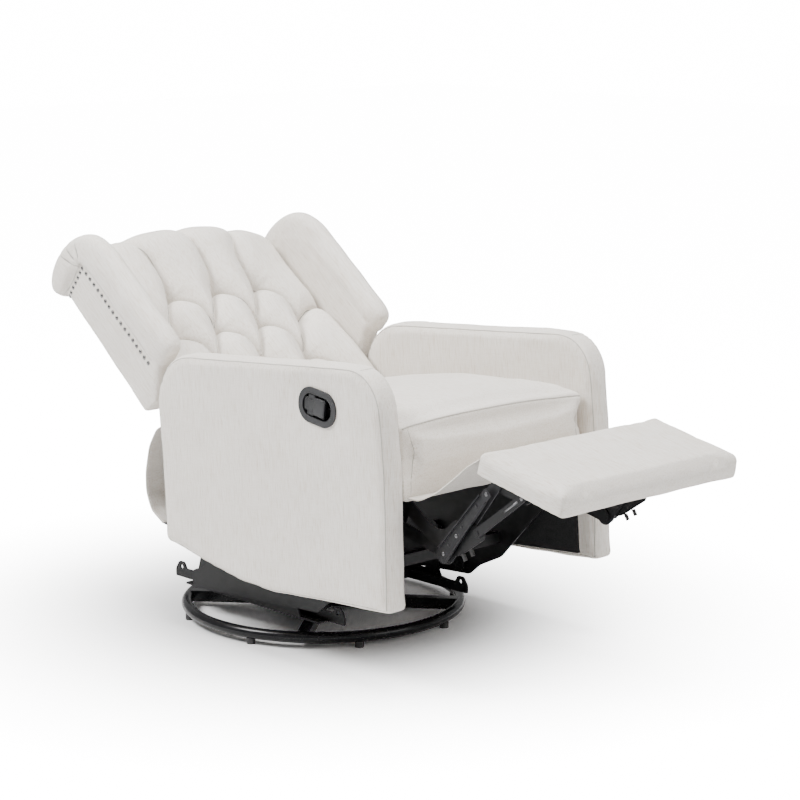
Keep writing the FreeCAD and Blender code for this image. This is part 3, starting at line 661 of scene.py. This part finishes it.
SIDES = (("left", 1.0), ("right", -1.0))
for side_name, side in SIDES:
    low, high = side_range(side, 282.5, 336.5)
    arm = slab("arm_" + side_name, body, [tuple(q) for q in shrunk(ARM, 0.0)], low, high, 11.0)
    remesh(arm, 6.0)
    soften(arm, 0.5, 2)
    inflate(arm, 3.0, 2.5, 12)
    rumple(arm, 0.6, 0.11, 11 if side > 0 else 12)
    if side < 0:
        co = coords(arm)
        u, z = level_of(co)
        near = np.hypot((u - HANDLE_AT[0]) / 64.0, (z - HANDLE_AT[1]) / 46.0)
        press = np.clip((1.9 - near) / 0.7, 0, 1)
        outer = co[:, 0] < -320 * MM
        pressed = co[:, 0] * (1 - press) + np.maximum(co[:, 0], -335.4 * MM) * press
        co[:, 0] = np.where(outer, pressed, co[:, 0])
        put(arm, co)
        opening(arm, HANDLE_AT, HANDLE_SLOPE, *HANDLE_CUP)
    bvh = surface_of(arm)
    seams = []
    edge = shrunk(ARM, 6.0)
    for tag, x in (("outer", 336.0), ("inner", 284.0)):
        ring = body([(side * x, a, b) for a, b in edge])
        seams.append(tube("arm_seam_%s_%s" % (tag, side_name), laid(bvh, ring, -0.2), 1.25, True, 6))
    mitre = [(side * x, 522, 645) for x in np.linspace(290, 330, 12)]
    seams.append(tube("arm_mitre_" + side_name, laid(bvh, body(mitre), -0.3), 1.0, False, 6))
    # The arm seam tubes take the darkened seam linen: painted shade along the seams.
    seam = merge("arm_seams_" + side_name, seams)
    dress(seam, M_SEAM_SHADE, "chair_body")
    covers = ["arm_cover_" + side_name, "arm_lining_" + side_name]
    dress(arm, M_BODY, "chair_body", covers)
    panel = [(519, 138, 4), (205, 138, 50), (110, 149, 50), (-20, 178, 50)]
    panel += [(-135, 214, 8), (-135, 345, 6), (519, 345, 6)]
    low, high = side_range(side, 277.5, 283.0)
    lining = slab("arm_dust_panel_" + side_name, body, arc_outline(panel), low, high, 1.0)
    dress(lining, M_DUST, "chair_body")


def handle_point(p):
    """Points on the release handle: x across, then back and up along its slope."""
    p = np.asarray(p, float).reshape(-1, 3)
    c, s = math.cos(HANDLE_SLOPE), math.sin(HANDLE_SLOPE)
    u = HANDLE_AT[0] - (p[:, 1] * c - p[:, 2] * s)
    z = HANDLE_AT[1] + p[:, 1] * s + p[:, 2] * c
    return body(np.stack([p[:, 0], u, z], 1))


def plate(name, y0, y1, z0, z1, x0, x1, radius):
    """A rounded plate on the handle, y0 to y1 back along it, z0 to z1 up it and x0 to x1 thick."""
    corners = [(y0, z0, radius), (y1, z0, radius), (y1, z1, radius), (y0, z1, radius)]
    return slab(name, handle_point, arc_outline(corners), x0, x1, 1.2)


block = plate("handle_block", -20.5, 9.0, -18.6, 18.6, -338.6, -331.0, 4.0)
dress(block, M_HANDLE, "handle")
PLATE_X = (-336.4, -333.5)
fixed = [plate("fixed", 10.0, 30.0, z0, z0 + 12.5, *PLATE_X, 2.5) for z0 in (9.5, -22.0)]
fixed.append(plate("fixed", 29.0, 41.0, -14.0, 14.0, *PLATE_X, 5.0))
dress(merge("handle_plate", fixed), M_HANDLE, "chair_body")

# ---------------------------------------------------------------- seat cushion
SEAT = [(-22, 409, 8), (549, 409, 3), (549, 350, 3), (558, 348, 3), (560, 495, 14)]
SEAT += [(430, 505, 200), (237, 508, 200), (75, 497, 200), (-22, 482, 14)]
seat = slab("seat", body, arc_outline(SEAT), -270, 270, 10.0)
remesh(seat, 5.0)


def seat_hold(co):
    u, z = level_of(co)
    welt_gap = np.hypot(u - 561.0, z - 498.0)
    return np.clip((z - 352.0) / 60.0, 0.02, 1) * (1 - 0.9 * np.exp(-(welt_gap / 34.0) ** 2))


inflate(seat, 15.0, 4.0, 20, seat_hold)
co = coords(seat)
x = co[:, 0] / MM
inside = np.clip(1 - (x / 275.0) ** 2, 0, 1)
crown = np.clip((co[:, 2] / MM - 470) / 60.0, 0, 1) * inside * 12.0
co[:, 2] += crown * MM
u, z = level_of(co)
low = np.clip((372.0 - z) / 20.0, 0, 1) * np.clip((u - 540.0) / 8.0, 0, 1)
co[:, 2] -= low * 7.0 * MM
put(seat, co)
soften(seat, 0.4, 2)
rumple(seat, 1.0, 0.16, 21)
bvh = surface_of(seat)
top_edge = [(v, 566, 500 + 9 * (1 - (v / 270.0) ** 2)) for v in np.linspace(-270, 270, 80)]
front_top = laid(bvh, body(top_edge), 0.0)
crease(seat, front_top, 4.0, 4.5)
for side in (-1.0, 1.0):
    crease(seat, body([(side * 252, 575, z) for z in np.linspace(352, 496, 20)]), 2.4, 4.0)
bvh = surface_of(seat)
# The welt and boxing tubes take the darkened seam linen: painted shade along the welt and the boxing seams.
lines = [tube("welt", laid(bvh, front_top, 0.3), 1.7, False, 8)]
for side in (-1.0, 1.0):
    boxing = body([(side * 252, 575, z) for z in np.linspace(356, 494, 30)])
    lines.append(tube("boxing", laid(bvh, boxing, -0.4), 0.9, False, 6))
welt = merge("seat_welt", lines)
dress(welt, M_SEAM_SHADE, "chair_body")
dress(seat, M_SEAT, "chair_body", ["seat_cushion"])

# ---------------------------------------------------------------- tufted back cushion
# Rows of pulled-in pins, each a height up the back and its places across. The top row has none.
THREE, FOUR = (-126, 0, 126), (-189, -63, 63, 189)
PIN_ROWS = ((605, ()), (493, THREE), (379, FOUR), (261, THREE), (150, FOUR))
PINS = [(px, s) for s, row in PIN_ROWS for px in row]
# Folds join each pin to its near ones in the row below, and run on to the crest and the sides.
folds = []
for s, row in PIN_ROWS[1:4]:
    for s2, row2 in PIN_ROWS[1:]:
        if 100 < s - s2 < 130:
            folds += [((a, s), (b, s2)) for a in row for b in row2 if abs(a - b) < 70]
for a in THREE:
    folds.append(((a, 493), (a * 1.22, 665)))
for a in (-189, 189):
    side = math.copysign(1, a)
    folds.append(((a, 379), (side * 290, 402)))
# The cushion's side profile, out of the back and up it, from its foot over the crest to the rear.
PROFILE = [(-60, 128), (-44, 134), (-38, 160), (-38, 260), (-38, 380), (-38, 490), (-35, 560)]
PROFILE += [(-29, 605), (-24, 634), (-26, 655), (-37, 675), (-56, 687), (-84, 688), (-93, 676)]
PROFILE = np.array(PROFILE, float)
run = run_along(PROFILE)
STEP = 3.2
ts = np.arange(0, run[-1], STEP)
xs = np.linspace(-279, 279, 176)
pw, ps = np.interp(ts, run, PROFILE[:, 0]), np.interp(ts, run, PROFILE[:, 1])
eased(pw, 12)
eased(ps, 12)
dw, ds = np.gradient(pw), np.gradient(ps)
size = np.hypot(dw, ds)
nw, ns = ds / size, -dw / size
along = np.concatenate([[0], np.cumsum(np.hypot(np.diff(pw), np.diff(ps)))])
unrolled = ps[0] + along - 24.0
X, T = np.meshgrid(xs, np.arange(len(ts)))
FX, FS = X.ravel(), unrolled[T.ravel()]
flat = np.stack([FX, FS], 1)
near = np.full(len(flat), 1e9)
curves = []
for a, b in folds:
    a, b = np.array(a, float), np.array(b, float)
    bow = np.array([b[1] - a[1], a[0] - b[0]]) * (-0.13 if b[0] > a[0] else 0.07)
    curve = [a + (b - a) * t + bow * math.sin(math.pi * t) for t in np.linspace(0, 1, 9)]
    curves.append(np.array(curve))
    gap, _ = distance_to(flat, curve)
    near = np.minimum(near, gap)
pin_gap = np.full(len(flat), 1e9)
pin_angle = np.zeros(len(flat))
for px, s in PINS:
    gap = np.hypot(FX - px, FS - s)
    pin_angle = np.where(gap < pin_gap, np.arctan2(FS - s, FX - px), pin_angle)
    pin_gap = np.minimum(pin_gap, gap)
deep = np.clip((700.0 - FS) / 120.0, 0.0, 1.0)
# Height of the padding: round between the folds, drawn in at the pins, folds, sides and ends.
puff = 33.0 * np.sqrt(1 - (1 - np.clip(near / 52.0, 0, 1)) ** 2)
puff = puff * (0.25 + 0.75 * deep) + 22.0 * (1 - deep)
puff -= 34.0 * np.exp(-(pin_gap / 25.0) ** 1.1)
puff -= 6.0 * (0.15 + 0.85 * deep) * np.exp(-(near / 3.2) ** 2)
puff += 1.6 * np.cos(7 * pin_angle + FX * 0.02) * np.exp(-pin_gap / 22.0) * np.clip(pin_gap / 8.0, 0, 1)
edge = np.clip((279 - np.abs(FX)) / 40.0, 0, 1)
puff = puff * (0.25 + 0.75 * np.sqrt(1 - (1 - edge) ** 2)) - 10 * (1 - edge) ** 2
rise = np.clip((FS - 250) / 390.0, 0, 1)
puff -= (4.0 + 46.0 * rise) * np.clip(np.abs(FX) / 279.0, 0, 1) ** 2.4
puff *= np.clip((ts[T.ravel()]) / 20.0, 0, 1) * np.clip((run[-1] - ts[T.ravel()]) / 25.0, 0, 1)
ti = T.ravel()
W = pw[ti] + nw[ti] * puff
S = ps[ti] + ns[ti] * puff
front = np.stack([FX, W, S], 1)
rows, cols = len(ts), len(xs)
verts = list(back(front))
faces = grid_faces(rows, cols)
# The flat rear face, joined to the front round the rim.
rear = np.stack([FX, np.full(len(FX), -93.0), np.clip(S, 131, 676)], 1)
verts += list(back(rear))
off = rows * cols
faces += [tuple(off + k for k in reversed(f)) for f in faces]
rim = list(range(cols)) + [i * cols + cols - 1 for i in range(1, rows)]
rim += [(rows - 1) * cols + j for j in range(cols - 2, -1, -1)] + [i * cols for i in range(rows - 2, 0, -1)]
for k, a in enumerate(rim):
    b = rim[(k + 1) % len(rim)]
    faces.append((a, b, b + off, a + off))
tufted = make("back_tufted", verts, faces)
refine(tufted, 1)
bvh = surface_of(tufted)
# Thin tubes of the darkened fold linen along the folds: painted shade in the tufting creases.
lines = []
for curve in curves:
    i = np.clip(np.searchsorted(unrolled, curve[:, 1]), 0, rows - 1)
    j = np.clip(np.searchsorted(xs, curve[:, 0]), 0, cols - 1)
    spots = spline(front[i * cols + j], 40)[:34]
    lines.append(tube("fold", laid(bvh, back(spots), 0.35), 0.95, False, 6))
dress(merge("back_fold_shade_lines", lines), M_FOLD_SHADE, "back_rest")
dress(tufted, M_BACK, "back_rest", ["back_cushion"])

# ---------------------------------------------------------------- wings with padded rolls
SPINE = [(40, 268), (38, 330), (38, 400), (38, 470), (38, 540), (36, 580)]
SPINE += [(24, 614), (0, 636), (-34, 650), (-72, 656), (-108, 650), (-134, 638)]
ROLL_HALF = (27.0, 41.0)
PLEATS = (((-8, 606), (16, 662), 8.0), ((-12, 610), (-24, 688), 8.0), ((-20, 612), (-54, 690), 7.0))
NAIL_RADIUS = 5.0
for side_name, side in SIDES:
    line = spline(SPINE, 70)
    step = np.gradient(line, axis=0)
    step /= np.linalg.norm(step, axis=1, keepdims=True)
    out = np.stack([step[:, 1], -step[:, 0]], 1)
    verts, faces = [], []
    ring = 36
    for i, (p, o) in enumerate(zip(line, out)):
        end = min(i, len(line) - 1 - i)
        small = math.sqrt(max(0.0, 1 - (1 - min(end, 7) / 7.0) ** 2)) if end < 7 else 1.0
        small = 0.62 + 0.38 * small
        for k in range(ring):
            t = 2 * math.pi * k / ring
            c, s = math.cos(t), math.sin(t)
            c = math.copysign(abs(c) ** 0.82, c)
            s = math.copysign(abs(s) ** 0.82, s)
            w = p[0] + o[0] * ROLL_HALF[1] * c * small
            up = p[1] + o[1] * ROLL_HALF[1] * c * small
            verts.append((side * (312 + ROLL_HALF[0] * s * small), w, up))
    for i in range(len(line) - 1):
        for k in range(ring):
            m = (k + 1) % ring
            faces.append((i * ring + k, i * ring + m, (i + 1) * ring + m, (i + 1) * ring + k))
    faces.append(tuple(range(ring)))
    faces.append(tuple(range(len(verts) - 1, len(verts) - 1 - ring, -1)))
    roll = make("roll_" + side_name, back(verts), faces)
    low, high = side_range(side, 283.0, 326.0)
    core = [(28, 284, 10), (-72, 236, 8), (-121, 248, 10), (-113, 622, 10), (-20, 640, 20), (30, 590, 30)]
    panel = slab("panel_" + side_name, back, arc_outline(core), low, high, 6.0)
    wing = merge("wing_" + side_name, [roll, panel])
    remesh(wing, 5.0)
    soften(wing, 0.5, 2)
    inflate(wing, 4.0, 2.0, 12)
    soften(wing, 0.4, 1)
    rumple(wing, 0.8, 0.1, 31 if side > 0 else 32)
    refine(wing, 1)
    x = side * 335.0
    pleats = []
    for a, b, depth in PLEATS:
        middle = (x + side * 6, (a[0] + b[0]) / 2, (a[1] + b[1]) / 2)
        pleat = back([(x, *a), middle, (x - side * 12, *b)])
        crease(wing, pleat, depth, 3.0, (1.0, 0.3))
        pleats.append(pleat)
    for k in range(4):
        gather = back([(side * (300 + k * 11), 44 - k * 6, 262), (side * (298 + k * 12), 62 - k * 4, 310)])
        crease(wing, gather, 4.0, 3.5, (1.0, 0.0))
    crease(wing, back([(side * 334, -8, 292), (side * 334, -8, 606)]), 3.0, 5.0, (1.0, 1.0))
    crease(wing, back([(side * 334, -8, 606), (side * 334, -116, 606)]), 3.0, 5.0, (1.0, 1.0))
    bvh = surface_of(wing)
    # Thin tubes of the darkened fold linen along the pleats: painted shade in the pleat creases.
    threads_and_pleat_shades = [tube("pleat", laid(bvh, spline(pleat, 24), -0.2), 1.0, False, 6) for pleat in pleats]
    dress(merge("wing_pleat_shade_lines_" + side_name, threads_and_pleat_shades), M_FOLD_SHADE, "back_rest")
    # The wing seam tubes take the darkened seam linen: painted shade along the seams.
    upright = [(side * 337, -6.0, s) for s in np.linspace(300, 604, 40)]
    level = [(side * 337, w, 610) for w in np.linspace(-12, -116, 16)]
    trims = [tube("trim", laid(bvh, back(edge), -0.2), 0.9, False, 6) for edge in (upright, level)]
    dress(merge("wing_seams_" + side_name, trims), M_SEAM_SHADE, "back_rest")
    nails = []
    for k in range(18):
        nails.append((side * 336, -16.0, 304.0 + k * 17.6))
    for k in range(6):
        nails.append((side * 336, -31.0 - k * 15.6, 604.0))
    heads = []
    for spot in back(nails):
        where, normal, _, _ = bvh.find_nearest(Vector(spot))
        bm = bmesh.new()
        bmesh.ops.create_uvsphere(bm, u_segments=16, v_segments=10, radius=NAIL_RADIUS * MM)
        facing = Vector((side, 0, 0)).lerp(normal, 0.3).normalized()
        turn = Vector((0, 0, 1)).rotation_difference(facing).to_matrix().to_4x4()
        heads.append(placed("nail", bm, Matrix.Translation(where) @ turn @ Matrix.Diagonal((1, 1, 0.5, 1))))
    studs = merge("nails_" + side_name, heads)
    dress(studs, M_NAIL, "back_rest", ["nailheads"])
    covers = ["wing_panel_" + side_name, "wing_roll_" + side_name]
    dress(wing, M_BACK, "back_rest", covers)

# ---------------------------------------------------------------- rear of the back
SHELL = [(-98, 138, 6), (-98, 610, 6), (-123, 610, 8), (-123, 150, 8)]
shell = slab("back_shell", back, arc_outline(SHELL), -281, 281, 5.0)
remesh(shell, 6.0)
soften(shell, 0.5, 2)
rumple(shell, 1.0, 0.2, 41)
dress(shell, M_BACK, "back_rest", ["back_panel"])
SCROLL = [(-66, 612, 20), (-66, 688, 30), (-158, 678, 36), (-158, 614, 26)]
scroll = slab("head_scroll", back, arc_outline(SCROLL), -280, 280, 6.0)
remesh(scroll, 6.0)
soften(scroll, 0.5, 4)
inflate(scroll, 5.0, 2.5, 12)
rumple(scroll, 1.0, 0.15, 42)
dress(scroll, M_BACK, "back_rest", ["head_roll"])


def drape(name, points, half, cols, thick, wave, seed):
    """A cloth strip: a side profile on the level body, swept across the chair, with soft folds."""
    line = spline(points, 60)
    step = np.gradient(line, axis=0)
    step /= np.linalg.norm(step, axis=1, keepdims=True)
    side_of = np.stack([-step[:, 1], step[:, 0]], 1)
    gx = np.linspace(-half, half, cols)
    gen = np.random.default_rng(seed)
    phases = gen.uniform(0, 6.3, 6)
    lengths = gen.uniform(70, 260, 6)
    verts = []
    for i in range(len(line)):
        mid = math.sin(math.pi * i / (len(line) - 1))
        for v in gx:
            lift = sum(math.sin(v / q * 6.28 + f + i * 0.02) for q, f in zip(lengths, phases)) / 3.0
            p = line[i] + side_of[i] * lift * wave * (0.25 + 0.75 * mid)
            verts.append((v, p[0], p[1]))
    obj = make(name, body(verts), grid_faces(len(line), cols))
    mod = obj.modifiers.new("Thick", "SOLIDIFY")
    mod.thickness = thick * MM
    mod.offset = 0
    bake(obj)
    length = float(np.linalg.norm(np.diff(line, axis=0), axis=1).sum()) * MM
    return obj, length


FLAP = [(-205, 446), (-232, 436), (-262, 395), (-281, 335), (-284, 290), (-270, 250), (-232, 224)]
skirt, length = drape("rear_flap", FLAP, 276, 90, 2.0, 3.0, 51)
dress(skirt, M_BACK, None, ["rear_skirt"])
top, low = body([(0, -215, 440)])[0], body([(0, -270, 250)])[0]
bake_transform(skirt)
STRIP = [(-232, 223), (-200, 216), (-147, 204), (-110, 207), (-74, 213)]
under, length = drape("rear_dust_strip", STRIP, 274, 60, 1.4, 0.6, 52)
dress(under, M_DUST, "chair_body", ["under_cover"])
apron, length = drape("back_apron", [(-84, 450), (-60, 444), (-38, 440), (-25, 438)], 258, 60, 1.6, 0.5, 54)
dress(apron, M_BACK, None)
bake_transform(apron)
COVER = [(-12, 350), (120, 347), (250, 346), (380, 347), (500, 350)]
cover, length = drape("seat_dust_cover", COVER, 222, 60, 1.2, 0.8, 53)
dress(cover, M_DUST, "chair_body")

# ---------------------------------------------------------------- footrest
pad_outline = arc_outline([(-1, -52, 4), (232, -52, 4), (234, -4, 15), (-2, -4, 12)])
pad = slab("footrest_cushion", rest, pad_outline, -262, 262, 12.0)
remesh(pad, 5.0)


def pad_hold(co):
    u, z = level_of(co)
    up = math.sin(PITCH) * (u - REST_ORIGIN[0]) + math.cos(PITCH) * (z - REST_ORIGIN[1])
    return np.clip((up + 50.0) / 26.0, 0.02, 1)


inflate(pad, 7.0, 3.0, 16, pad_hold)
soften(pad, 0.4, 2)
rumple(pad, 0.9, 0.12, 61)
refine(pad, 1)
for side in (-1.0, 1.0):
    for k in range(4):
        x = side * (262 - k * 12)
        crease(pad, rest([(x, 238, -40), (x - side * 6, 226, -2)]), 3.0, 3.0, (1.0, 0.0))
dress(pad, M_REST, "footrest", ["footrest_pad"])

BRIDGE = [(556, 350), (590, 352), (640, 376), (690, 408), (735, 436), (768, 448)]
flap, length = drape("footrest_flap", BRIDGE, 262, 80, 2.0, 2.0, 71)
co = coords(flap)
drop = np.clip((np.abs(co[:, 0]) / MM - 225) / 35.0, 0, 1) ** 1.5
span = np.clip((-co[:, 1] / MM - 545) / 215.0, 0, 1)
co[:, 2] -= drop * np.sin(math.pi * span) * 12 * MM
put(flap, co)
flap.data.materials.append(M_SEAT)
flap.data.materials.append(M_LINING)
for face in flap.data.polygons:
    face.material_index = 1 if face.normal.z < 0 else 0
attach(flap, "chair_body")
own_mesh(flap)

# ---------------------------------------------------------------- rivets and pressed holes
def discs(name, mat, rides, spots, radius, dome):
    """Round heads, or with no dome thin dark holes, on the outer faces; each spot is (x, forward, up)."""
    parts = []
    for x, a, b in spots:
        bm = bmesh.new()
        if dome > 0:
            bmesh.ops.create_uvsphere(bm, u_segments=16, v_segments=8, radius=1.0)
            sizes = (dome, radius, radius)
        else:
            bmesh.ops.create_cone(bm, cap_ends=True, segments=16, radius1=1.0, radius2=1.0, depth=1.0)
            bmesh.ops.rotate(bm, verts=bm.verts, matrix=Matrix.Rotation(math.pi / 2, 3, "Y"))
            sizes = (0.3, radius, radius)
        move = Matrix.Translation(Vector(body([(x, a, b)])[0]))
        parts.append(placed(name, bm, move @ Matrix.Diagonal((*[v * MM for v in sizes], 1))))
    return dress(merge(name, parts), mat, rides)


LOW_PIN, HIGH_PIN = np.array((637.9, 241.4)), np.array((786.0, 393.5))
LINK = (HIGH_PIN - LOW_PIN) / np.linalg.norm(HIGH_PIN - LOW_PIN)
CROSS = np.array((-LINK[1], LINK[0]))
PLATE_HOLES = [(470, 330), (440, 300), (400, 262), (350, 230), (300, 200)]
PLATE_HOLES += [(250, 176), (180, 200), (120, 170), (60, 220)]


def along_link(t, across):
    p = LOW_PIN + LINK * t + CROSS * across
    return (p[0], p[1])


for side_name, side in SIDES:
    shape = [(*along_link(-16, -17), 12), (*along_link(197, -10), 6)]
    shape += [(*along_link(197, 10), 6), (*along_link(-16, 17), 12)]
    low, high = side_range(side, 247.4, 249.6)
    bars = [slab("channel", body, arc_outline(shape), low, high, 0.7)]
    for edge in (1.0, -1.0):
        lip = [along_link(6, edge * 17.4), along_link(176, edge * 11.6)]
        lip += [along_link(176, edge * 8.8), along_link(6, edge * 14.6)]
        low, high = side_range(side, 247.4, 254.5)
        bars.append(slab("channel", body, lip, low, high, 0.7))
    dress(merge("channel_" + side_name, bars), M_CHANNEL, "risers")
    spots = [(side * 249.8, *along_link(t, 0)) for t in (4, 60, 188)]
    discs("channel_rivets_" + side_name, M_STEEL, "risers", spots, 4.4, 1.6)
    spots = [(side * 249.7, *along_link(t, 2)) for t in (30, 86, 150)]
    discs("channel_holes_" + side_name, M_DUST, "risers", spots, 3.2, 0.0)
    sleeve = body([(side * 244.9, 733.9 + 125.8 * t, 294.4 + 80.3 * t) for t in (0.62, 0.70, 0.78, 0.92)])
    dress(tube("rod_sleeve_" + side_name, sleeve, 2.3, False, 14), M_STEEL, "rods")
    spots = [(side * 242.2, 518.9, 345.1)]
    discs("crank_rivets_" + side_name, M_STEEL, "cranks", spots, 6.0, 2.2)
    spots = [(side * 246.0, 733.9, 294.4), (side * 246.0, 859.7, 374.7)]
    discs("rod_rivets_" + side_name, M_STEEL, "rods", spots, 4.2, 1.0)
    spots = [(side * 230.1, u, z) for u, z in PLATE_HOLES]
    discs("plate_holes_" + side_name, M_RING, "chair_body", spots, 4.5, 0.0)

# ---------------------------------------------------------------- stage, light and camera
floor = make("floor", [(-14, -14, 0), (14, -14, 0), (14, 14, 0), (-14, 14, 0)], [(0, 1, 2, 3)])
ground = Nodes("floor_paint")
tone = ground.noise(ground.turned(0.0, (2, 2, 2)), 1.0, 2.0, 0.5)
place = ground.new("ShaderNodeVectorMath", operation="LENGTH")
ground.link(ground.at, place.inputs[0])
glow = ground.new("ShaderNodeMapRange", interpolation_type="SMOOTHSTEP")
glow.inputs["From Min"].default_value = 0.3
glow.inputs["From Max"].default_value = 1.3
glow.inputs["To Max"].default_value = 15.0
ground.link(place.outputs["Value"], glow.inputs["Value"])
sight = ground.new("ShaderNodeLightPath")
power = ground.math("MULTIPLY", glow.outputs[0], sight.outputs["Is Camera Ray"])
pale = ground.ramp(tone, [(0.3, (0.93, 0.93, 0.93)), (0.7, (0.95, 0.95, 0.95))])
glowing = {"Emission_Color": (1.0, 1.0, 1.0, 1.0), "Emission_Strength": power}
floor.data.materials.append(ground.finish(Base_Color=pale, Roughness=0.6, **glowing))


def lamp(name, spot, target, size, power):
    data = bpy.data.lights.new(name, "AREA")
    data.energy = power
    data.size = size
    obj = bpy.data.objects.new(name, data)
    obj.location = spot
    obj.rotation_euler = (Vector(target) - Vector(spot)).to_track_quat("-Z", "Y").to_euler()
    bpy.context.scene.collection.objects.link(obj)


lamp("key", (-2.6, 1.4, 3.6), (0, -0.2, 0.4), 1.6, 300)
lamp("fill", (1.2, -4.6, 2.6), (0, -0.3, 0.4), 2.6, 90)
lamp("top", (0.0, -0.7, 4.2), (0, -0.3, 0.4), 2.0, 260)
world = bpy.data.worlds.new("Studio")
bpy.context.scene.world = world
world.use_nodes = True
sky = next(n for n in world.node_tree.nodes if n.type == "BACKGROUND")
sky.inputs[0].default_value = (1.0, 1.0, 1.0, 1)
seen = world.node_tree.nodes.new("ShaderNodeLightPath")
bright = world.node_tree.nodes.new("ShaderNodeMapRange")
bright.inputs["To Min"].default_value = 0.5
bright.inputs["To Max"].default_value = 16.0
world.node_tree.links.new(seen.outputs["Is Camera Ray"], bright.inputs["Value"])
world.node_tree.links.new(bright.outputs[0], sky.inputs[1])

view = bpy.data.cameras.new("Camera")
view.lens = 107.8
view.sensor_width = 36.0
view.clip_end = 60.0
eye = bpy.data.objects.new("Camera", view)
eye.location = (-3.4918, -3.9187, 1.4981)
eye.rotation_euler = Vector((0.6769, 0.7111, -0.1901)).to_track_quat("-Z", "Y").to_euler()
bpy.context.scene.collection.objects.link(eye)
bpy.context.scene.camera = eye
